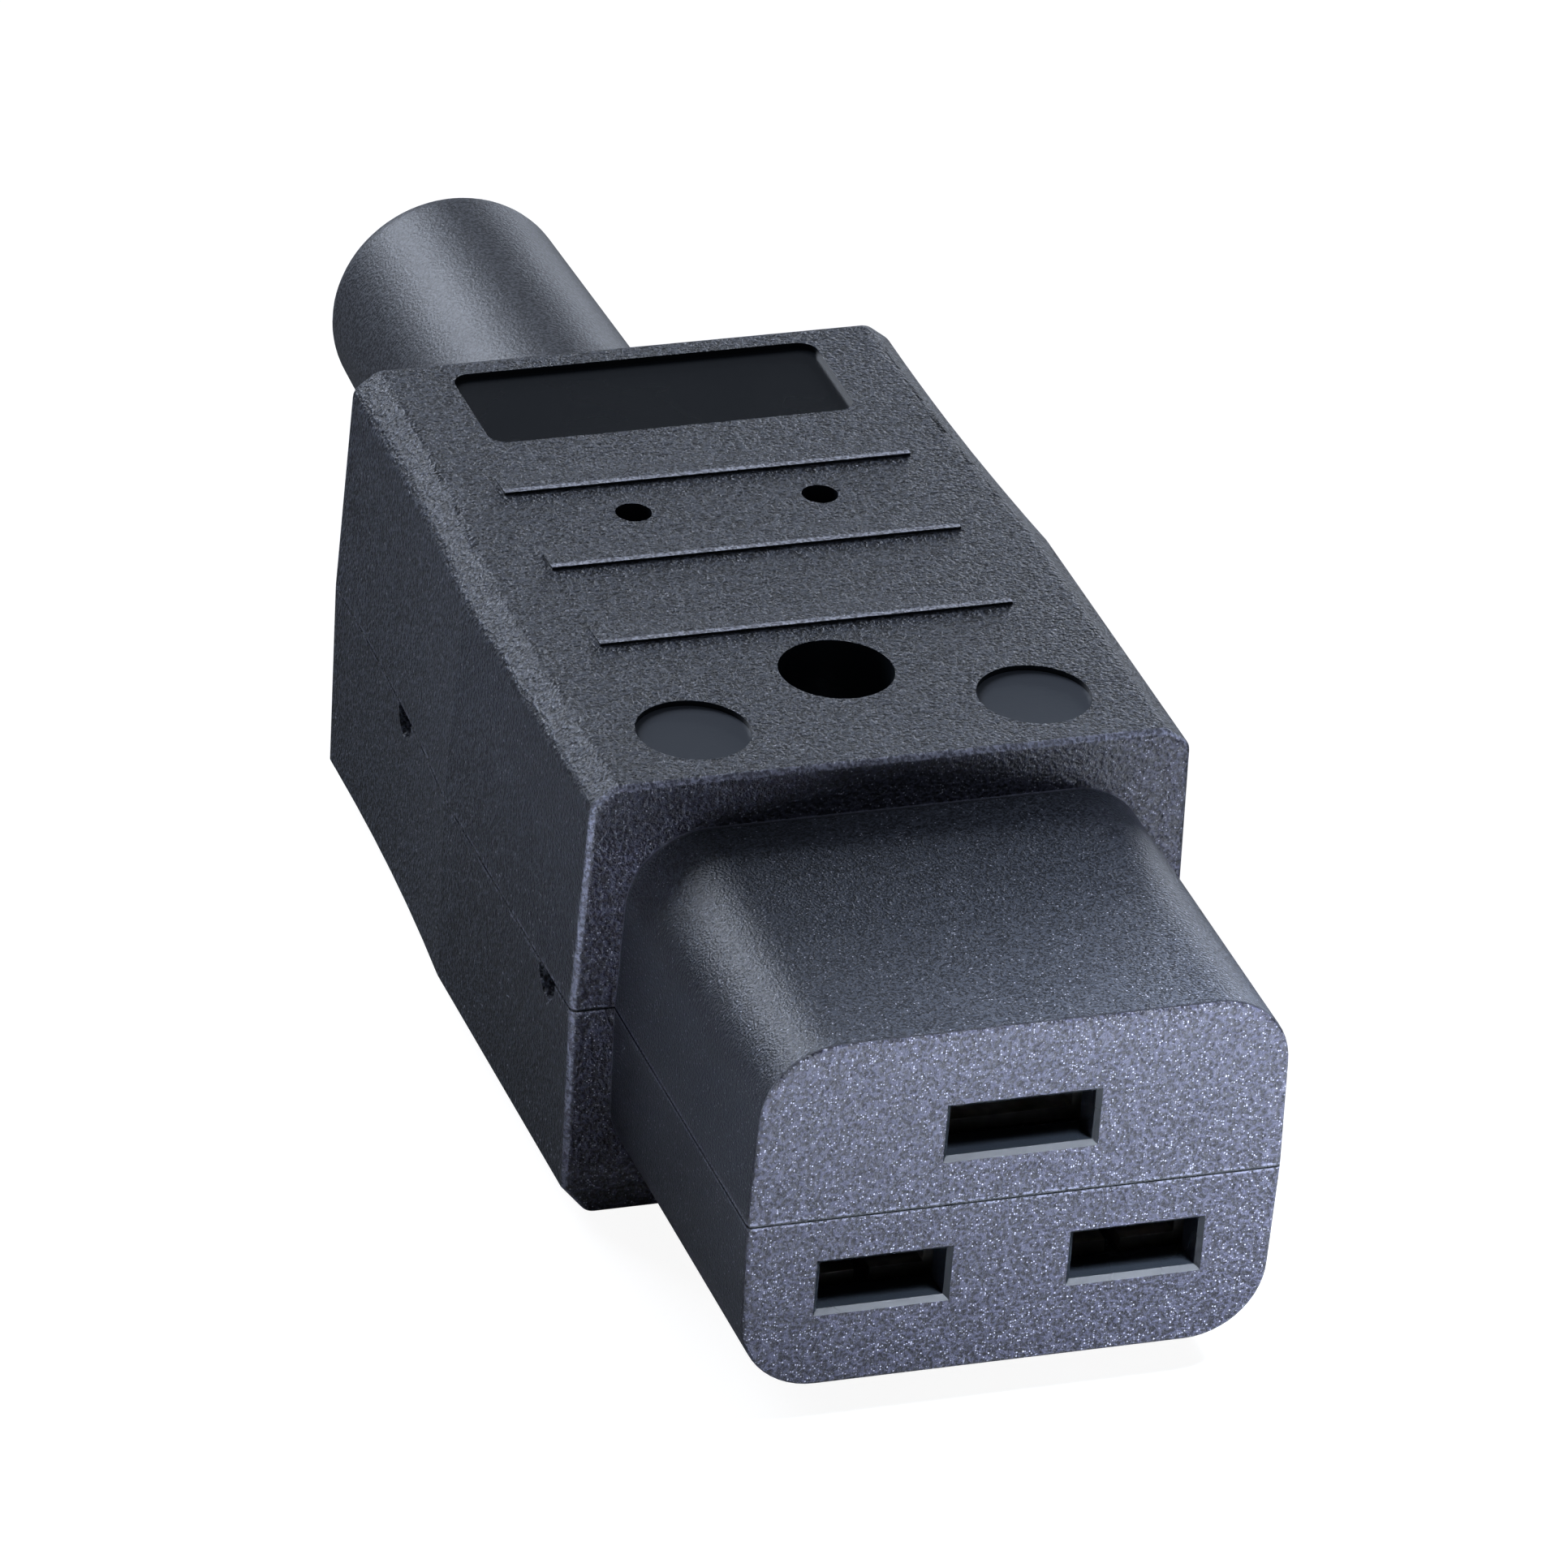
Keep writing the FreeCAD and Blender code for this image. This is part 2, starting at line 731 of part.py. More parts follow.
def lower_shell():
    body = new_body("lower_shell")
    shell_blank(
        body,
        size.bottom_height,
        size.bottom_chamfer_width,
        size.bottom_chamfer_height,
        -size.nose_bottom,
        -1,
    )

    # The lip stands on the rim, inside the wall, and is cut away where contacts go in.
    lip = room_plan(
        size.side_wall - size.lip_thickness,
        chamber_front - size.lip_thickness,
        chamber_rear + size.lip_thickness,
    )
    extrude(body, "lip", "XY_Plane", (zero, size.lip_height), lip)
    hollow(body, (floor_height, size.lip_height))
    power_half = size.power_pin_room / 2 + size.tunnel_thickness + size.clip_gap + size.clip_thickness
    entry = size.pin_spacing / 2 + power_half + size.chamber_side_gap
    entry_y = (shoulder, chamber_front + size.past)
    above_lip = size.lip_height + size.past
    block(body, "lip_gate", (-entry, entry), entry_y, (zero, above_lip), cut=True)

    # Line and neutral lie in chambers that open on the parting plane.
    chamber_floor = size.power_pin_height - packed_half_height - size.chamber_gap
    for side, x in mirrored_pair(size.pin_spacing / 2):
        contact_chamber(body, f"{side}_chamber", x, size.power_pin_room, (chamber_floor, above_lip))
        pin_slot(
            body,
            f"{side}_slot",
            x,
            size.power_pin_height,
            size.power_slot_width,
            size.power_slot_height,
        )

    # A tongue on the web between the chambers holds the earth contact up.
    web = size.pin_spacing / 2 - power_half - size.chamber_side_gap
    tongue_top = size.earth_pin_height - packed_half_height - size.chamber_gap
    tongue_long = (size.contact_setback, contact_end)
    block(body, "earth_tongue", (-web, web), tongue_long, (-size.rooted, tongue_top))

    # The boss for the housing screw, with a socket for the upper shell's spigot.
    centre = (zero, screw_y)
    tail_low = size.earth_pin_height - tunnel_half_height
    boss_z = (floor_height - size.rooted, tail_low - size.spigot_gap)
    rod(body, "boss", "z", centre, boss_z, column_radius)
    socket = spigot_radius + size.spigot_gap
    rod(body, "spigot_socket", "z", centre, (zero, tail_low + size.past), socket, cut=True)
    pilot = size.screw_shank_radius + size.thread_gap
    pilot_end = -size.screw_depth - size.screw_tip_room
    rod(body, "screw_pilot", "z", centre, (pilot_end, size.past), pilot, cut=True)

    # Fins on the floor carry the terminal cages on both sides of the screw heads.
    for name, x, start, tail_top in terminals():
        fin_top = tail_top - cage_inner_height - size.cage_base - size.cage_gap
        for side, edge in mirrored_pair(cage_half_width - size.fin_thickness / 2):
            fin_x = (x + edge - size.fin_thickness / 2, x + edge + size.fin_thickness / 2)
            fin_y = (start, start + size.cage_length)
            fin_z = (floor_height - size.rooted, fin_top)
            block(body, f"{name}_{side}_rest", fin_x, fin_y, fin_z)

    # Pry notches in the rim, two a side, flat on the parting plane and round below.
    half = size.notch_width / 2
    for number, side in enumerate((size.body_half_width, rear_half_width)):
        along = shoulder + size.front_notch + size.notch_pitch * number
        bite = outline(
            (along - half, half - size.notch_height, "round", size.notch_radius),
            (along + half, half - size.notch_height),
            (along + half, size.past),
            (along - half, size.past),
        )
        inner = side - size.notch_depth
        outer = side + size.past
        extrude(body, f"right_notch_{number}", "YZ_Plane", (inner, outer), bite, cut=True)
        extrude(body, f"left_notch_{number}", "YZ_Plane", (-outer, -inner), bite, cut=True)
    return body


# --- bend relief sleeve ----------------------------------------------------------------


def bend_relief_sleeve():
    """A soft turned form: a stub and collar trapped by the shells, a taper outside and a
    rounded end, with one straight bore for the cord."""
    body = new_body("bend_relief_sleeve")
    bore = size.sleeve_bore
    neck = size.sleeve_radius
    collar = size.collar_radius
    collar_near = groove_front + size.sleeve_gap
    collar_far = groove_rear - size.sleeve_gap
    end = rear_face + size.sleeve_length
    tip = size.sleeve_end_radius
    mouth = size.sleeve_mouth
    turn = tip - bore - mouth - size.sleeve_end_land
    section = outline(
        (bore, chamber_rear - size.sleeve_stub),
        (neck, chamber_rear - size.sleeve_stub),
        (neck, collar_near),
        (collar, collar_near),
        (collar, collar_far),
        (neck, collar_far),
        (neck, rear_face),
        (tip, end - turn, "round", turn),
        (tip - turn, end),
        (bore + mouth, end),
        (bore, end - mouth),
    )
    revolve(body, "sleeve", section)
    return body


# --- contacts and terminals ------------------------------------------------------------


def terminals():
    """Each screw terminal: its name, its place across, where it starts and its tail's top."""
    earth_tail_top = size.earth_pin_height - size.tunnel_height / 2
    return (
        ("line", -cage_offset, size.power_cage_start, power_tail_top),
        ("neutral", cage_offset, size.power_cage_start, power_tail_top),
        ("earth", zero, size.earth_cage_start, earth_tail_top),
    )


def contacts():
    """Each contact: its terminal's values, its pin's place, room and the tail's side."""
    power_x = size.pin_spacing / 2
    places = (
        (-power_x, size.power_pin_height, size.power_pin_room, 1),
        (power_x, size.power_pin_height, size.power_pin_room, 1),
        (zero, size.earth_pin_height, size.earth_pin_room, -1),
    )
    return [(*terminal, *place) for terminal, place in zip(terminals(), places)]


def channel(x, z, half_width, half_height, metal, gap, sense):
    """A strip folded into a rectangle with a gap in one side, as seen from the front. The gap
    is on the lower side where the sense is 1."""
    inner_width = half_width - metal
    inner_height = half_height - metal
    corners = [
        (-gap / 2, -half_height),
        (-gap / 2, -inner_height),
        (-inner_width, -inner_height),
        (-inner_width, inner_height),
        (inner_width, inner_height),
        (inner_width, -inner_height),
        (gap / 2, -inner_height),
        (gap / 2, -half_height),
        (half_width, -half_height),
        (half_width, half_height),
        (-half_width, half_height),
        (-half_width, -half_height),
    ]
    return outline(*((x + across, z + up * sense) for across, up in corners))


def contact(name, cage_x, cage_start, tail_top, pin_x, pin_z, room, sense):
    """Brass strip: a seamed tunnel for the pin, and a flat tail back to the terminal."""
    body = new_body(f"{name}_contact")
    metal = size.tunnel_thickness
    half_width = room / 2 + metal
    section = channel(pin_x, pin_z, half_width, tunnel_half_height, metal, size.tunnel_seam, sense)
    extrude(body, "tunnel", "XZ_Plane", (size.contact_setback, contact_end), section)
    level = (tail_top - metal, tail_top)
    cage_end = cage_start + size.cage_length
    half_tail = size.tail_width / 2
    if name == "earth":
        wide_end = screw_y + column_radius
        tail = outline(
            (-half_width, contact_end - size.rooted),
            (half_width, contact_end - size.rooted),
            (half_width, wide_end),
            (half_tail, cage_start - size.chamber_gap),
            (half_tail, cage_end),
            (-half_tail, cage_end),
            (-half_tail, cage_start - size.chamber_gap),
            (-half_width, wide_end),
        )
        extrude(body, "tail", "XY_Plane", level, tail)
        eye = spigot_radius + size.spigot_gap
        through = (tail_top - metal - size.past, tail_top + size.past)
        rod(body, "eye", "z", (zero, screw_y), through, eye, cut=True)
        return body
    bend_end = contact_end + size.tail_bend
    tail = outline(
        (pin_x - half_width, contact_end - size.rooted),
        (pin_x + half_width, contact_end - size.rooted),
        (pin_x + half_width, contact_end),
        (cage_x + half_tail, bend_end),
        (cage_x + half_tail, cage_end),
        (cage_x - half_tail, cage_end),
        (cage_x - half_tail, bend_end),
        (pin_x - half_width, contact_end),
    )
    extrude(body, "tail", "XY_Plane", level, tail)
    return body


def spring_clip(name, cage_x, cage_start, tail_top, pin_x, pin_z, room, sense):
    """Spring steel: a clip that is pushed over the tunnel and closes it on the pin."""
    body = new_body(f"{name}_spring_clip")
    half_width = room / 2 + size.tunnel_thickness + size.clip_gap + size.clip_thickness
    gap = (half_width - size.clip_hook_width) * 2
    metal = size.clip_thickness
    section = channel(pin_x, pin_z, half_width, packed_half_height, metal, gap, -sense)
    start = size.contact_setback + size.clip_start
    extrude(body, "clip", "XZ_Plane", (start, start + size.clip_length), section)
    return body


def terminal_cage(name, x, start, tail_top):
    """A brass cage round the tail's end, with a thick threaded base for the screw."""
    body = new_body(f"{name}_terminal_cage")
    inner_half = size.cage_inner_width / 2
    inner_low = tail_top - cage_inner_height
    outer = rectangle(
        (x - cage_half_width, x + cage_half_width),
        (inner_low - size.cage_base, tail_top + size.cage_wall),
    )
    inner = rectangle((x - inner_half, x + inner_half), (inner_low, tail_top))
    along = (start, start + size.cage_length)
    extrude(body, "cage", "XZ_Plane", along, outer, inner)
    centre = (x, start + size.cage_length / 2)
    radius = size.terminal_shank_radius + size.thread_gap
    span = (inner_low - size.cage_base - size.past, inner_low + size.past)
    rod(body, "thread", "z", centre, span, radius, cut=True)
    return body


def terminal_screw(name, x, start, tail_top):
    """A slotted screw that goes up through the cage's base and presses the wire guard."""
    body = new_body(f"{name}_terminal_screw")
    centre = (x, start + size.cage_length / 2)
    seat = tail_top - cage_inner_height - size.cage_base
    tip = tail_top - size.tunnel_thickness - size.wire_room
    shank_z = (seat, tip)
    rod(body, "shank", "z", centre, shank_z, size.terminal_shank_radius)
    head_low = seat - size.terminal_head_height
    rod(body, "head", "z", centre, (head_low, seat), size.terminal_head_radius)
    driver_slot(body, centre, (head_low, head_low + size.driver_depth), size.terminal_head_radius)
    return body


def driver_slot(body, centre, span, radius):
    """A straight slot right across a screw's head."""
    half = size.driver_slot / 2
    reach = radius + size.past
    wide = (centre[0] - reach, centre[0] + reach)
    thin = (centre[1] - half, centre[1] + half)
    block(body, "driver_slot", wide, thin, span, cut=True)


def wire_guard(name, x, start, tail_top):
    """A bent leaf between the screw's tip and the wire, its front end turned up to the tail."""
    body = new_body(f"{name}_wire_guard")
    metal = size.guard_thickness
    tail_low = tail_top - size.tunnel_thickness
    tip = tail_low - size.wire_room
    front = start - metal - size.cage_gap
    rear = start + size.cage_length
    leaf = outline(
        (front, tip),
        (rear, tip),
        (rear, tip + metal),
        (front + metal, tip + metal),
        (front + metal, tail_low),
        (front, tail_low),
    )
    half = size.guard_width / 2
    extrude(body, "leaf", "YZ_Plane", (x - half, x + half), leaf)
    return body


# --- cord clamp and screws -------------------------------------------------------------


def cord_clamp():
    """A moulded bar with a hollow for the cord, pulled up to the saddle by two screws."""
    body = new_body("cord_clamp")
    half = size.clamp_half_length
    low = -size.clamp_opening - size.clamp_thickness
    along = (clamp_y - size.clamp_width / 2, clamp_y + size.clamp_width / 2)
    block(body, "bar", (-half, half), along, (low, -size.clamp_opening))
    through = (along[0] - size.past, along[1] + size.past)
    rod(body, "cord_hollow", "y", (zero, zero), through, size.cord_radius, cut=True)
    for side, x in mirrored_pair(size.clamp_screw_spacing / 2):
        span = (low - size.past, zero)
        rod(body, f"{side}_hole", "z", (x, clamp_y), span, size.clamp_hole_radius, cut=True)
    return body


def cord_clamp_screw(side, x):
    body = new_body(f"cord_clamp_screw_{side}")
    seat = -size.clamp_opening - size.clamp_thickness
    centre = (x, clamp_y)
    shank = size.clamp_pilot_radius - size.thread_gap
    rod(body, "shank", "z", centre, (seat, size.clamp_screw_reach), shank)
    head_low = seat - size.clamp_head_height
    rod(body, "head", "z", centre, (head_low, seat), size.clamp_head_radius)
    driver_slot(body, centre, (head_low, head_low + size.driver_depth), size.clamp_head_radius)
    return body


def housing_screw():
    """The screw that closes the shells: its head is deep in the column's access bore."""
    body = new_body("housing_screw")
    centre = (zero, screw_y)
    seat = size.screw_seat_height
    rod(body, "shank", "z", centre, (-size.screw_depth, seat), size.screw_shank_radius)
    head_top = seat + size.screw_head_height
    rod(body, "head", "z", centre, (seat, head_top), size.screw_head_radius)
    driver_slot(body, centre, (head_top - size.driver_depth, head_top), size.screw_head_radius)
    return body


# --- the whole connector ---------------------------------------------------------------


def assemble():
    bodies = [upper_shell(), lower_shell(), bend_relief_sleeve(), housing_screw(), cord_clamp()]
    for side, x in mirrored_pair(size.clamp_screw_spacing / 2):
        bodies.append(cord_clamp_screw(side, x))
    for piece in contacts():
        bodies.append(contact(*piece))
        bodies.append(spring_clip(*piece))
    for place in terminals():
        bodies.append(terminal_cage(*place))
        bodies.append(terminal_screw(*place))
        bodies.append(wire_guard(*place))
    return bodies


def check(bodies):
    """Stop on a failed object, a cut that takes nothing away, or a shape that isn't sound."""
    cuts = ("PartDesign::Pocket", "PartDesign::SubtractiveBox", "PartDesign::SubtractiveCylinder")
    least_cut = 1e-4
    for item in doc.Objects:
        if "Invalid" in item.State or "Error" in item.State:
            raise RuntimeError(f"{item.Label} failed: {item.State}")
        if item.TypeId in cuts and item.BaseFeature.Shape.Volume - item.Shape.Volume < least_cut:
            raise RuntimeError(f"{item.Label} takes nothing away")
    for body in bodies:
        if body.Shape.isNull() or not body.Shape.isValid() or len(body.Shape.Solids) != 1:
            raise RuntimeError(f"{body.Label} is not one sound solid")


bodies = assemble()
doc.recompute()
check(bodies)
os.makedirs("parts", exist_ok=True)
for body in bodies:
    body.Shape.exportStep(f"parts/{body.Label}.step")
print(f"{len(bodies)} pieces written")
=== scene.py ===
import math

import bpy
from mathutils import Matrix, Vector


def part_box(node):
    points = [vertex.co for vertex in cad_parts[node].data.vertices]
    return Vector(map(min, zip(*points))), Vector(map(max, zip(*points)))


# A rewireable appliance connector, lying on a white bench with its pin slots to the front.
# Metres. The origin is the middle of the mating face, +Y runs back to the cord, +Z is up.

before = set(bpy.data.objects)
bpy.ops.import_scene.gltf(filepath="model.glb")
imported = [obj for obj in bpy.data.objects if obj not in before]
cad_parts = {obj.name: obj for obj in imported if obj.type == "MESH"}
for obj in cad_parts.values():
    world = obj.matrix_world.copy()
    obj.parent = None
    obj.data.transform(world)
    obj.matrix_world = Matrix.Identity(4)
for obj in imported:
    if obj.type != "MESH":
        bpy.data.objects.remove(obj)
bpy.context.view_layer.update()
mm = 0.001

# --- Housing shells ---------------------------------------------------------------------
# Two halves moulded in black thermoplastic. Their spark-eroded grain is coarse on the body and
# finer round the nose. The two faces that look to the front are paler and bluer, partly a finish
# of their own and partly painted reflection of the bench, with painted glints. What is cut into
# the top and the mouths of the pin slots are polished. Painted highlights and painted shade lie
# on top of the grain, as marked below.

shell_black = (0.006, 0.007, 0.010, 1)
shell_worn = (0.068, 0.076, 0.098, 1)
# Faces that look to the front: their paler tone is partly painted reflection of the bench.
front_dark = (0.006, 0.006, 0.011, 1)
front_pale_reflection = (0.040, 0.041, 0.066, 1)
# Painted highlight on edges, the seam's lips and the grip crests.
edge_highlight = (0.24, 0.25, 0.33, 1)
# Painted glints: facet dots, sparse specks and the grip crests.
glint_highlight = (0.50, 0.51, 0.60, 1)
polished_black = (0.008, 0.010, 0.013, 1)
badge_black = (0.050, 0.057, 0.070, 1)
body_pits = 4200.0
nose_pits = 6500.0
grain_depth = 0.12 * mm
shoulder = 20.86 * mm
rear_face = 64.80 * mm
top_level = 12.54 * mm
recess_level = top_level - 0.3 * mm
grip_top = top_level + 0.16 * mm
nose_top = 9.80 * mm
badge_end = shoulder + 9.0 * mm
top_field_half = 13.0 * mm
pin_field_half = 11.0 * mm
pin_field_height = 6.5 * mm


def calculate(tree, operation, *values):
    """A Math node of one or two values, each a number or another node's output."""
    made = tree.nodes.new("ShaderNodeMath")
    made.operation = operation
    for socket, value in zip(made.inputs, values):
        if isinstance(value, bpy.types.NodeSocket):
            tree.links.new(value, socket)
        else:
            socket.default_value = value
    return made.outputs[0]


def times(tree, first, *others):
    """The product of several values."""
    for other in others:
        first = calculate(tree, "MULTIPLY", first, other)
    return first


def without(tree, value):
    """1 less the value, which turns a mask round."""
    return calculate(tree, "SUBTRACT", 1.0, value)


def step(tree, value, low, high):
    """0 below the low value and 1 above the high one, with a smooth run between them."""
    made = tree.nodes.new("ShaderNodeMapRange")
    made.interpolation_type = "SMOOTHSTEP"
    made.inputs["From Min"].default_value = low
    made.inputs["From Max"].default_value = high
    tree.links.new(value, made.inputs["Value"])
    return made.outputs["Result"]


def near(tree, value, level, reach):
    """1 where the value is close to a level, and 0 further off than the reach."""
    gap = calculate(tree, "ABSOLUTE", calculate(tree, "SUBTRACT", value, level))
    return without(tree, step(tree, gap, 0.7 * reach, reach))


def within(tree, value, reach):
    """1 where the value lies between the reach and its negative."""
    return without(tree, step(tree, calculate(tree, "ABSOLUTE", value), 0.96 * reach, reach))


def blend(tree, mask, first, second):
    """One colour turning into another where the mask is 1."""
    made = tree.nodes.new("ShaderNodeMix")
    made.data_type = "RGBA"
    tree.links.new(mask, made.inputs["Factor"])
    for socket, colour in ((made.inputs[6], first), (made.inputs[7], second)):
        if isinstance(colour, bpy.types.NodeSocket):
            tree.links.new(colour, socket)
        else:
            socket.default_value = colour
    return made.outputs[2]


def parts_of(tree, vector):
    """The X, Y and Z of a vector."""
    made = tree.nodes.new("ShaderNodeSeparateXYZ")
    tree.links.new(vector, made.inputs[0])
    return tuple(made.outputs[axis] for axis in "XYZ")


def texture(tree, kind, place, scale, **inputs):
    """A procedural texture read at a place, with its scale a number or an output."""
    made = tree.nodes.new(f"ShaderNodeTex{kind}")
    tree.links.new(place, made.inputs["Vector"])
    if isinstance(scale, bpy.types.NodeSocket):
        tree.links.new(scale, made.inputs["Scale"])
    else:
        made.inputs["Scale"].default_value = scale
    for name, value in inputs.items():
        made.inputs[name].default_value = value
    return made


def new_group(name, inputs, outputs):
    """An empty shader group with its sockets, given as pairs of kind and name."""
    group = bpy.data.node_groups.new(name, "ShaderNodeTree")
    for way, sockets in (("INPUT", inputs), ("OUTPUT", outputs)):
        for kind, label in sockets:
            group.interface.new_socket(label, in_out=way, socket_type=f"NodeSocket{kind}")
    return group, group.nodes.new("NodeGroupInput"), group.nodes.new("NodeGroupOutput")


def make_mould_grain():
    """Spark-eroded grain: packed pits, where they are worn light, masks for painted glints on
    facets and for sparse painted glint specks, and broad patches where the mould was duller."""
    outputs = [("Float", name) for name in ("Height", "Worn", "Glint", "Speck glint", "Patch")]
    inputs = [("Vector", "Place"), ("Float", "Pits per metre")]
    group, given, result = new_group("mould_grain", inputs, outputs)
    place, pits = given.outputs["Place"], given.outputs["Pits per metre"]
    lumps = texture(group, "Noise", place, pits, Detail=2.0, Roughness=0.65)
    dust = texture(group, "Noise", place, times(group, pits, 2.6), Detail=1.0)
    cells = texture(group, "Voronoi", place, times(group, pits, 1.1))
    facets = texture(group, "Voronoi", place, times(group, pits, 2.1))
    patch = texture(group, "Noise", place, 130.0, Detail=3.0)
    pitted = times(group, cells.outputs["Distance"], 0.45)
    height = calculate(group, "ADD", pitted, lumps.outputs["Fac"])
    height = calculate(group, "ADD", height, times(group, dust.outputs["Fac"], 0.35))
    shade = group.nodes.new("ShaderNodeSeparateColor")
    group.links.new(facets.outputs["Color"], shade.inputs["Color"])
    middle = without(group, step(group, facets.outputs["Distance"], 0.15, 0.5))
    speck_cells = group.nodes.new("ShaderNodeSeparateColor")
    group.links.new(cells.outputs["Color"], speck_cells.inputs["Color"])
    heart = without(group, step(group, cells.outputs["Distance"], 0.15, 0.4))
    for name, value in (
        ("Height", height),
        ("Worn", step(group, height, 0.80, 1.04)),
        ("Glint", times(group, step(group, shade.outputs["Red"], 0.70, 1.0), middle)),
        ("Speck glint", times(group, step(group, speck_cells.outputs["Green"], 0.78, 1.05), heart)),
        ("Patch", patch.outputs["Fac"]),
    ):
        group.links.new(value, result.inputs[name])
    return group


mould_grain = make_mould_grain()


def use_grain(tree, place, pits):
    """The grain's outputs by name, at so many pits to the metre, a number or an output."""
    made = tree.nodes.new("ShaderNodeGroup")
    made.node_tree = mould_grain
    tree.links.new(place, made.inputs["Place"])
    if isinstance(pits, bpy.types.NodeSocket):
        tree.links.new(pits, made.inputs["Pits per metre"])
    else:
        made.inputs["Pits per metre"].default_value = pits
    return made.outputs


def new_material(name):
    """A material, its tree, its shader, and the place and facing of each point."""
    material = bpy.data.materials.new(name)
    material.use_nodes = True
    tree = material.node_tree
    frame_of = tree.nodes.new("ShaderNodeTexCoord").outputs
    return material, tree, tree.nodes["Principled BSDF"], frame_of["Object"], frame_of["Normal"]


def add_bump(tree, shader, height, distance):
    """Raises the surface by the height, in metres."""
    bump = tree.nodes.new("ShaderNodeBump")
    bump.inputs["Distance"].default_value = distance
    tree.links.new(height, bump.inputs["Height"])
    tree.links.new(bump.outputs["Normal"], shader.inputs["Normal"])


def map_finish_and_light_masks(tree, place, normal):
    """Where each finish, painted highlight and painted shade lies on the shells, as masks by name.
    """
    x, y, z = parts_of(tree, place)
    facing_x, facing_y, facing_z = parts_of(tree, normal)
    leftward, forward = times(tree, facing_x, -1.0), times(tree, facing_y, -1.0)
    mask = {}

    # The two faces that look to the front, whose paler, bluer tone is partly painted reflection,
    # and the nose behind the first of them.
    nose_face, step_face = near(tree, y, 0.0, 0.4 * mm), near(tree, y, shoulder, 0.5 * mm)
    on_face = calculate(tree, "MAXIMUM", nose_face, step_face)
    mask["front"] = times(tree, step(tree, forward, 0.3, 0.6), on_face)
    before_step = without(tree, step(tree, y, shoulder - 0.3 * mm, shoulder))
    mask["nose"] = times(tree, before_step, without(tree, mask["front"]))

    # The mouths of the pin slots, and the walls and floors of all that is cut into the top.
    in_mouth = without(tree, step(tree, y, 2.0 * mm, 3.0 * mm))
    among_pins = times(tree, within(tree, x, pin_field_half), within(tree, z, pin_field_height))
    slot = times(tree, among_pins, in_mouth, without(tree, step(tree, forward, 0.8, 0.95)))
    in_field = within(tree, x, top_field_half)
    behind_step = step(tree, y, shoulder + 1.0 * mm, shoulder + 1.3 * mm)
    before_rear = without(tree, step(tree, y, rear_face - 0.6 * mm, rear_face - 0.4 * mm))
    cut_in = times(tree, behind_step, before_rear, in_field)
    wall = without(tree, step(tree, calculate(tree, "ABSOLUTE", facing_z), 0.5, 0.8))
    at_floor = near(tree, z, recess_level, 0.2 * mm)
    floor = times(tree, step(tree, facing_z, 0.6, 0.9), at_floor)
    recess = times(tree, cut_in, calculate(tree, "MAXIMUM", wall, floor))
    mask["polished"] = calculate(tree, "MAXIMUM", recess, slot)
    among_badges = without(tree, step(tree, y, badge_end, badge_end + 0.5 * mm))
    mask["badge"] = times(tree, cut_in, floor, among_badges)

    # Painted highlights: the rounded edge over the front step, and each grip's crest.
    outward = calculate(tree, "MAXIMUM", facing_z, leftward)
    at_edge = near(tree, y, shoulder + 0.1 * mm, 0.3 * mm)
    mask["edge"] = times(tree, at_edge, step(tree, outward, 0.3, 0.6))
    crest = step(tree, z, grip_top - 0.034 * mm, grip_top - 0.022 * mm)
    mask["crest"] = times(tree, in_field, crest)

    # Painted shade: the step above the nose, and the left side towards the front.
    over_nose = step(tree, z, nose_top - 1.0 * mm, nose_top)
    short_of_right = without(tree, step(tree, x, 11.0 * mm, 14.5 * mm))
    mask["step_shade"] = times(tree, step_face, over_nose, short_of_right, 0.4)
    towards_front = without(tree, step(tree, y, shoulder, shoulder + 30.0 * mm))
    mask["side_shade"] = times(tree, step(tree, leftward, 0.75, 0.95), towards_front, 0.55)

    # The seam where the shells meet, and the lips above and below it, worn and with a painted
    # highlight.
    mask["seam"] = near(tree, z, 0.0, 0.10 * mm)
    mask["lips"] = near(tree, z, 0.0, 0.24 * mm)
    return mask


